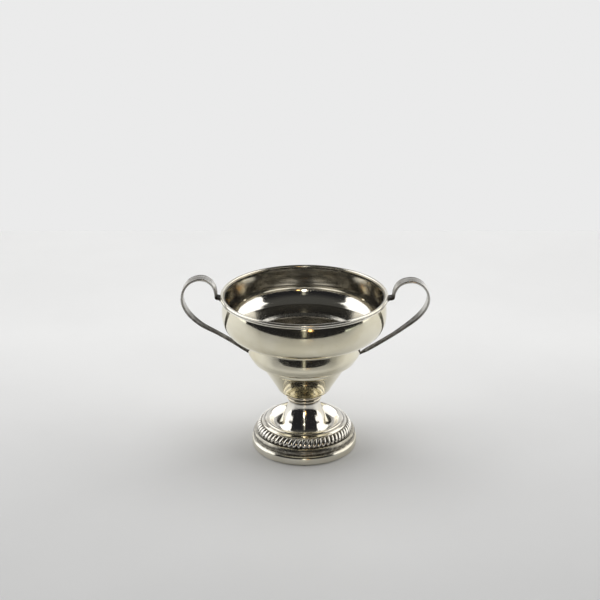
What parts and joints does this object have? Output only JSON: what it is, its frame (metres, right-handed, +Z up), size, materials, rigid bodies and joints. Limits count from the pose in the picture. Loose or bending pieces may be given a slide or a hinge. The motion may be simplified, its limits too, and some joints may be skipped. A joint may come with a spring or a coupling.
{
  "type": "sugar bowl",
  "caption": "Open footed silver sugar bowl with a stepped body, moulded rim, strap handles and a weighted foot with a gadroon border.",
  "frame": {"origin": "centre of the foot, on the plane that the bowl stands on; in X and Y it is the axis of the bowl", "axes": "+Z up along the axis of the bowl, +X through the right handle, front of the bowl facing -Y"},
  "size_m": [0.13, 0.088, 0.0956],
  "materials": {
    "bowl_silver": "polished",
    "rim_silver": "polished",
    "handle_silver": "satin",
    "collar_silver": "polished",
    "foot_silver": "polished",
    "border_silver": "polished",
    "ring_silver": "polished",
    "plate_silver": "satin",
    "rod_steel": "satin",
    "cement": "matte"
  },
  "bodies": {
    "root": {"bowl_shell": "bowl_silver", "rim_wire": "rim_silver", "handle_left": "handle_silver", "handle_right": "handle_silver", "collar_ring": "collar_silver", "foot_shell": "foot_silver", "gadroon_border": "border_silver", "foot_ring": "ring_silver", "base_plate": "plate_silver", "reinforcing_rod": "rod_steel", "weight_filler": "cement"}
  },
  "joints": []
}
